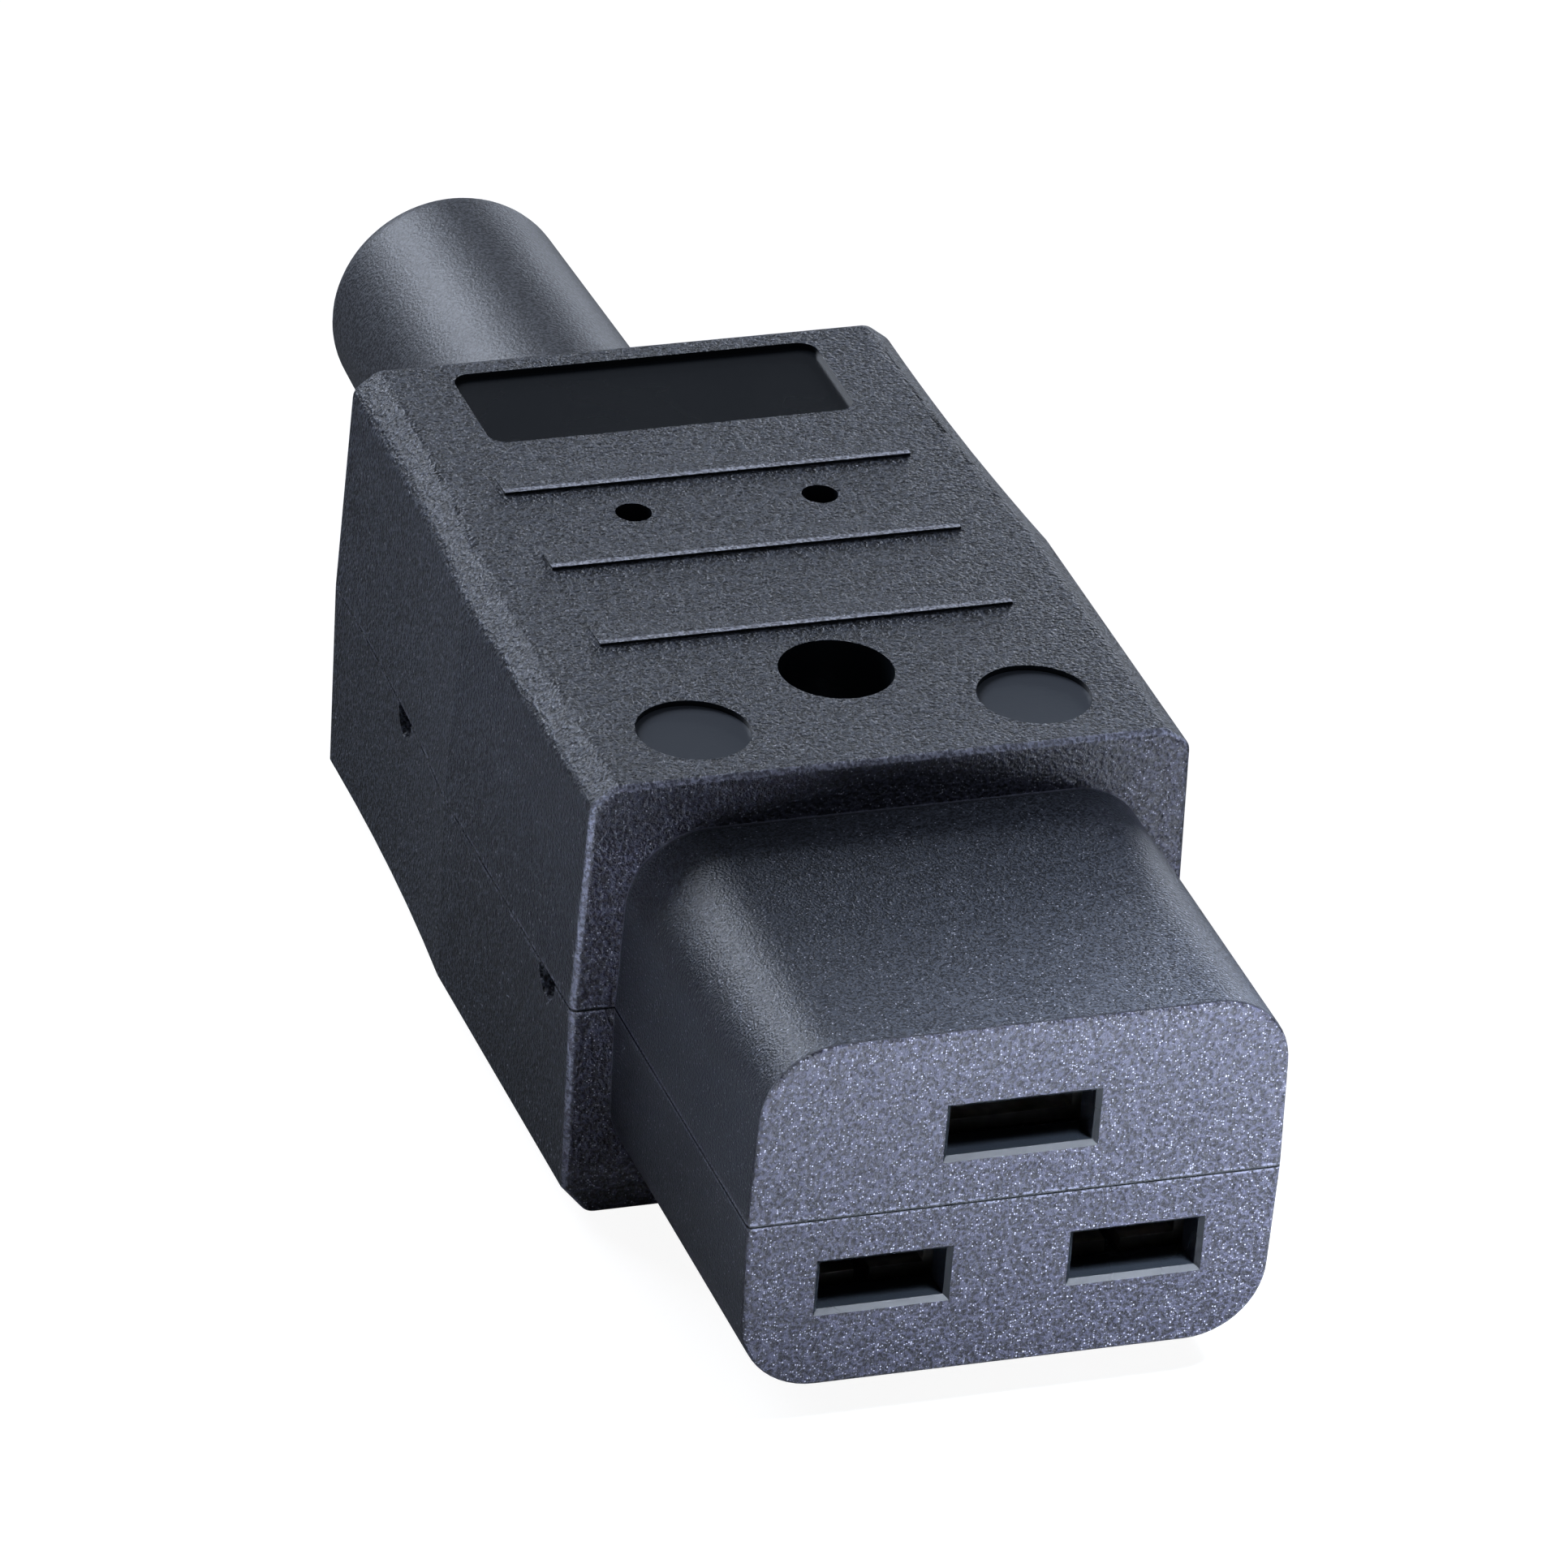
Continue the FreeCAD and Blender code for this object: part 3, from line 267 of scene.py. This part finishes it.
def make_shell_plastic():
    material, tree, shader, place, normal = new_material("shell_plastic")
    shader.inputs["Specular IOR Level"].default_value = 0.4
    mask = map_finish_and_light_masks(tree, place, normal)
    extra_pits = times(tree, mask["nose"], nose_pits - body_pits)
    grain = use_grain(tree, place, calculate(tree, "ADD", extra_pits, body_pits))
    worn = grain["Worn"]

    smooth_nose, smooth_cuts = times(tree, mask["nose"], 0.55), times(tree, mask["polished"], 0.97)
    relief = without(tree, calculate(tree, "MAXIMUM", smooth_nose, smooth_cuts))
    add_bump(tree, shader, times(tree, grain["Height"], relief), grain_depth)

    paler = times(tree, worn, without(tree, times(tree, mask["nose"], 0.45)))
    plain = blend(tree, paler, shell_black, shell_worn)
    # Painted shade on the left side towards the front.
    plain = blend(tree, mask["side_shade"], plain, shell_black)
    # Painted glints: sparse light specks all over.
    plain = blend(tree, times(tree, grain["Speck glint"], 0.8), plain, glint_highlight)
    # The faces that look to the front: partly a paler, bluer finish and partly painted reflection
    # of the bench.
    bright = blend(tree, worn, front_dark, front_pale_reflection)
    # Painted glints on the faces that look to the front.
    bright = blend(tree, times(tree, grain["Glint"], 0.9), bright, glint_highlight)
    # Painted shade on the step above the nose.
    bright = blend(tree, mask["step_shade"], bright, polished_black)
    tone = blend(tree, mask["front"], plain, bright)
    # Painted highlights on the edge over the front step and on the seam's worn lips.
    catch = calculate(tree, "ADD", times(tree, worn, 0.6), 0.25)
    tone = blend(tree, times(tree, mask["edge"], catch), tone, edge_highlight)
    tone = blend(tree, times(tree, mask["lips"], worn, 0.5), tone, edge_highlight)
    tone = blend(tree, mask["seam"], tone, polished_black)
    # Painted highlights on the grip crests.
    tone = blend(tree, times(tree, mask["crest"], catch), tone, glint_highlight)
    tone = blend(tree, mask["polished"], tone, polished_black)
    tone = blend(tree, mask["badge"], tone, badge_black)
    tree.links.new(tone, shader.inputs["Base Color"])

    rough = calculate(tree, "ADD", times(tree, grain["Patch"], 0.10), 0.30)
    rough = calculate(tree, "SUBTRACT", rough, times(tree, mask["polished"], 0.08))
    rough = calculate(tree, "ADD", rough, times(tree, mask["badge"], 0.16))
    tree.links.new(rough, shader.inputs["Roughness"])
    return material


def finish(material, *names):
    """Gives the named pieces this material."""
    for name in names:
        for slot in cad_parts[name].material_slots:
            slot.material = material


finish(make_shell_plastic(), "upper_shell", "lower_shell")

# --- Bend relief sleeve -----------------------------------------------------------------
# A soft elastomer sleeve, moulded in one piece with the collar that the shells trap. Its
# surface is matt, with a fine even grain.

sleeve_dark = (0.018, 0.019, 0.024, 1)
sleeve_light = (0.080, 0.085, 0.100, 1)


def make_sleeve_rubber():
    material, tree, shader, place, _ = new_material("sleeve_rubber")
    grain = use_grain(tree, place, pits=5500.0)
    tone = blend(tree, grain["Worn"], sleeve_dark, sleeve_light)
    tree.links.new(tone, shader.inputs["Base Color"])
    rough = calculate(tree, "ADD", times(tree, grain["Patch"], 0.08), 0.42)
    tree.links.new(rough, shader.inputs["Roughness"])
    add_bump(tree, shader, grain["Height"], distance=0.03 * mm)
    return material


finish(make_sleeve_rubber(), "bend_relief_sleeve")

# --- Contacts and terminals -------------------------------------------------------------
# Strip folded into tunnels and plated with dull nickel, drawn brass cages, and clips and
# wire guards of spring steel. Each shows its rolling marks and is a little dulled.


def make_metal(name, colour, dull, roughness, marks_depth):
    """A metal with rolling marks along Y and darker, duller patches."""
    material, tree, shader, place, _ = new_material(name)
    shader.inputs["Metallic"].default_value = 1.0
    stretch = tree.nodes.new("ShaderNodeMapping")
    stretch.inputs["Scale"].default_value = (1.0, 0.06, 1.0)
    tree.links.new(place, stretch.inputs["Vector"])
    marks = texture(tree, "Noise", stretch.outputs[0], 6000.0, Detail=2.0)
    patches = texture(tree, "Noise", place, 350.0, Detail=3.0)
    worn = step(tree, patches.outputs["Fac"], 0.42, 0.66)
    tree.links.new(blend(tree, worn, colour, dull), shader.inputs["Base Color"])
    rough = calculate(tree, "ADD", times(tree, worn, 0.14), roughness)
    tree.links.new(rough, shader.inputs["Roughness"])
    add_bump(tree, shader, marks.outputs["Fac"], marks_depth)
    return material


nickel_strip = make_metal(
    "nickel_strip",
    colour=(0.42, 0.40, 0.36, 1),
    dull=(0.26, 0.25, 0.23, 1),
    roughness=0.34,
    marks_depth=0.010 * mm,
)
cage_brass = make_metal(
    "cage_brass",
    colour=(0.62, 0.48, 0.24, 1),
    dull=(0.45, 0.34, 0.18, 1),
    roughness=0.28,
    marks_depth=0.008 * mm,
)
spring_steel = make_metal(
    "spring_steel",
    colour=(0.24, 0.25, 0.27, 1),
    dull=(0.15, 0.15, 0.17, 1),
    roughness=0.32,
    marks_depth=0.006 * mm,
)
circuits = ("line", "neutral", "earth")
for circuit in circuits:
    finish(nickel_strip, f"{circuit}_contact")
    finish(cage_brass, f"{circuit}_terminal_cage")
    finish(spring_steel, f"{circuit}_spring_clip", f"{circuit}_wire_guard")

# --- Screws and cord clamp --------------------------------------------------------------
# Zinc-plated slotted screws, and the clamp bar, moulded smooth in the shells' plastic.

zinc_plate = make_metal(
    "zinc_plate",
    colour=(0.55, 0.56, 0.58, 1),
    dull=(0.38, 0.39, 0.42, 1),
    roughness=0.30,
    marks_depth=0.006 * mm,
)
finish(zinc_plate, "housing_screw", "cord_clamp_screw_right", "cord_clamp_screw_left")
finish(zinc_plate, *(f"{circuit}_terminal_screw" for circuit in circuits))


def make_clamp_plastic():
    material, tree, shader, place, _ = new_material("clamp_plastic")
    grain = use_grain(tree, place, pits=6000.0)
    tone = blend(tree, grain["Worn"], shell_black, polished_black)
    tree.links.new(tone, shader.inputs["Base Color"])
    shader.inputs["Roughness"].default_value = 0.4
    add_bump(tree, shader, grain["Height"], distance=0.01 * mm)
    return material


finish(make_clamp_plastic(), "cord_clamp")

# --- Bench, light and camera ------------------------------------------------------------
# A white bench with two lamps close over it, in front of the connector, whose front faces
# mirror the lit patches. Two soft boxes behind light its top and sleeve, with a dark gap
# between them, and a weak one overhead fills in.

cool_white = (0.80, 0.87, 1.0)
bench_grey = (0.20, 0.20, 0.20, 1)
bench_seen = 0.93
bench_mirrored = 0.01
room_strength = 0.12
bench_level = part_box("lower_shell")[0].z
bpy.ops.mesh.primitive_plane_add(size=8.0, location=(0, 0, bench_level))
bench = bpy.context.object
bench.name = "bench"


def make_bench_white():
    """White to the camera, but with the connector's shadow, and dim in reflections."""
    material = bpy.data.materials.new("bench_white")
    material.use_nodes = True
    tree = material.node_tree
    tree.nodes.clear()
    lit = tree.nodes.new("ShaderNodeBsdfDiffuse")
    lit.inputs["Color"].default_value = bench_grey
    glow = tree.nodes.new("ShaderNodeEmission")
    path = tree.nodes.new("ShaderNodeLightPath").outputs
    seen = calculate(tree, "MAXIMUM", path["Is Camera Ray"], path["Is Transmission Ray"])
    mirrored = times(tree, path["Is Glossy Ray"], bench_mirrored)
    strength = calculate(tree, "ADD", times(tree, seen, bench_seen), mirrored)
    tree.links.new(strength, glow.inputs["Strength"])
    both = tree.nodes.new("ShaderNodeAddShader")
    tree.links.new(lit.outputs[0], both.inputs[0])
    tree.links.new(glow.outputs[0], both.inputs[1])
    output = tree.nodes.new("ShaderNodeOutputMaterial")
    tree.links.new(both.outputs[0], output.inputs["Surface"])
    return material


bench.data.materials.append(make_bench_white())

world = bpy.data.worlds.new("room")
world.use_nodes = True
surroundings = world.node_tree.nodes["Background"]
surroundings.inputs["Color"].default_value = (*cool_white, 1)
surroundings.inputs["Strength"].default_value = room_strength
bpy.context.scene.world = world


def soft_light(name, place, target, width, height, power, spread=180.0):
    """A rectangular soft box at a place, turned to face its target."""
    lamp = bpy.data.lights.new(name, "AREA")
    lamp.shape = "RECTANGLE"
    lamp.size, lamp.size_y, lamp.energy = width, height, power
    lamp.spread = math.radians(spread)
    lamp.color = cool_white
    holder = bpy.data.objects.new(name, lamp)
    bpy.context.scene.collection.objects.link(holder)
    aim = Vector(target) - Vector(place)
    holder.rotation_euler = aim.to_track_quat("-Z", "Y").to_euler()
    holder.location = place


middle = (0, 0.035, 0)
soft_light(
    "back_left_light", (-0.30, 0.80, 0.50), middle,
    width=0.46, height=0.45, power=8.4,
)
soft_light(
    "back_right_light", (0.62, 0.78, 0.12), middle,
    width=0.50, height=0.22, power=1.9,
)
soft_light(
    "bench_light", (0.06, -0.12, 0.16), (0.045, -0.115, bench_level),
    width=0.14, height=0.10, power=6.2, spread=48.0,
)
soft_light(
    "bench_left_light", (-0.12, -0.07, 0.14), (-0.11, -0.06, bench_level),
    width=0.08, height=0.08, power=4.4, spread=45.0,
)
soft_light(
    "top_light", (0.1, -0.05, 0.8), middle,
    width=0.5, height=0.5, power=0.3,
)

camera_place = Vector((-0.198246, -0.481891, 0.322249))
azimuth, elevation, roll = (math.radians(angle) for angle in (-20.95, 29.97, 4.75))
camera = bpy.data.objects.new("camera", bpy.data.cameras.new("camera"))
bpy.context.scene.collection.objects.link(camera)
camera.data.sensor_width = 36.0
camera.data.lens = 291.0
camera.data.clip_start = 0.01
camera.rotation_mode = "QUATERNION"
level_back = Vector((math.sin(azimuth), -math.cos(azimuth), 0))
back = level_back * math.cos(elevation) + Vector((0, 0, math.sin(elevation)))
level = Vector((math.cos(azimuth), math.sin(azimuth), 0))
upright = back.cross(level)
right = level * math.cos(roll) + upright * math.sin(roll)
up = upright * math.cos(roll) - level * math.sin(roll)
turn = Matrix((right, up, back)).transposed()
camera.matrix_world = Matrix.Translation(camera_place) @ turn.to_4x4()
bpy.context.scene.camera = camera
bpy.context.scene.view_settings.view_transform = "Standard"
